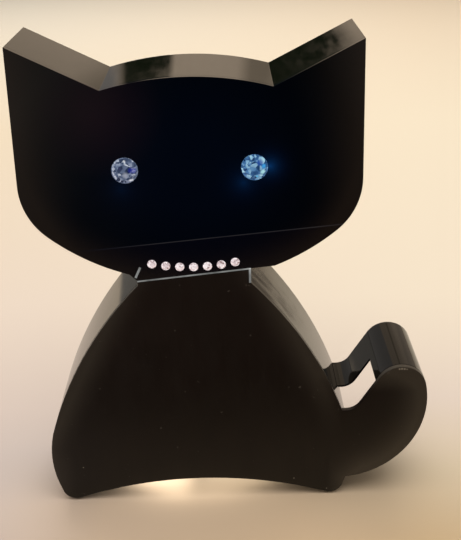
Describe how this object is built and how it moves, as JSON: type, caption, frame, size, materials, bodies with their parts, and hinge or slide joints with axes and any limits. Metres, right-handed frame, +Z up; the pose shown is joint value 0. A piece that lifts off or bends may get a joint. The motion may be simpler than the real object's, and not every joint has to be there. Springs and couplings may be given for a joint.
{
  "type": "cat-shaped table clock",
  "caption": "Deep black cat silhouette with gem eyes, a gem collar and a curled tail, holding a hidden lit display, rear set buttons and a battery bay.",
  "frame": {"origin": "under the middle of the whole clock, on the table", "axes": "+Z up, the face looks along -Y, +X to the viewer's right, where the tail is"},
  "size_m": [0.1917, 0.054, 0.2342],
  "materials": {
    "smoked_gloss": "polished smoked acrylic",
    "satin_black": "satin",
    "gloss_black": "piano black",
    "cover_black": "fine moulded texture",
    "trim_metal": "bright",
    "screw_steel": "zinc plated",
    "pad_rubber": "matt",
    "crystal": "cut and foiled",
    "led_blue": "clear lens",
    "board_green": "solder mask",
    "module_grey": "matt",
    "segment_white": "unlit light bars",
    "ribbon_grey": "flat cable",
    "plug_ivory": "moulded",
    "chip_black": "moulded",
    "can_steel": "pressed",
    "capacitor_sleeve": "shrink sleeve",
    "button_grey": "satin",
    "cone_paper": "matt",
    "cell_jacket": "printed foil, left plain",
    "contact_nickel": "nickel plated",
    "wire_red": "wire insulation"
  },
  "bodies": {
    "clock": {"head_panel": "smoked_gloss", "body_panel": "satin_black", "collar_trim": "trim_metal", "head_shell": "gloss_black", "body_shell": "gloss_black", "tail_wall": "gloss_black", "head_back_cover": "cover_black", "body_back_cover": "cover_black", "head_cover_screws": "screw_steel", "body_cover_screws": "screw_steel", "neck_plate": "screw_steel", "neck_screws": "screw_steel", "foot_pads": "pad_rubber", "eye_crystal_left": "crystal", "eye_crystal_right": "crystal", "eye_holder_left": "cover_black", "eye_holder_right": "cover_black", "eye_led_left": "led_blue", "eye_led_right": "led_blue", "eye_board": "board_green", "collar_stones": "crystal", "display_frame": "cover_black", "display_module": "module_grey", "display_segments": "segment_white", "display_board": "board_green", "display_screws": "screw_steel", "display_ribbon": "ribbon_grey", "ribbon_plugs": "plug_ivory", "main_board": "board_green", "board_screws": "screw_steel", "clock_chip": "chip_black", "quartz_crystal": "can_steel", "capacitors": "capacitor_sleeve", "button_switches": "chip_black", "light_switch_body": "can_steel", "speaker_frame": "can_steel", "speaker_cone": "cone_paper", "battery_tray": "cover_black", "batteries": "cell_jacket", "battery_contacts": "contact_nickel", "battery_leads": "wire_red", "door_hinge_pin": "screw_steel"},
    "alarm_button": {"alarm_button": "button_grey"},
    "set_button": {"set_button": "button_grey"},
    "hour_button": {"hour_button": "button_grey"},
    "minute_button": {"minute_button": "button_grey"},
    "light_switch": {"light_switch_knob": "button_grey"},
    "battery_door": {"battery_door": "cover_black"}
  },
  "joints": [
    {"name": "alarm_press", "type": "slide", "parent": "clock", "child": "alarm_button", "axis": [0, -1, 0], "range_m": [0, 0.0012], "stiffness_N_per_m": 900},
    {"name": "set_press", "type": "slide", "parent": "clock", "child": "set_button", "axis": [0, -1, 0], "range_m": [0, 0.0012], "stiffness_N_per_m": 900},
    {"name": "hour_press", "type": "slide", "parent": "clock", "child": "hour_button", "axis": [0, -1, 0], "range_m": [0, 0.0012], "stiffness_N_per_m": 900},
    {"name": "minute_press", "type": "slide", "parent": "clock", "child": "minute_button", "axis": [0, -1, 0], "range_m": [0, 0.0012], "stiffness_N_per_m": 900},
    {"name": "light_switch_slide", "type": "slide", "parent": "clock", "child": "light_switch", "axis": [1, 0, 0], "range_m": [0, 0.004]},
    {"name": "battery_door_hinge", "type": "hinge", "parent": "clock", "child": "battery_door", "pos_m": [-0.01755, 0.0228, 0.021], "axis": [-1, 0, 0], "range_deg": [0, 90]}
  ]
}
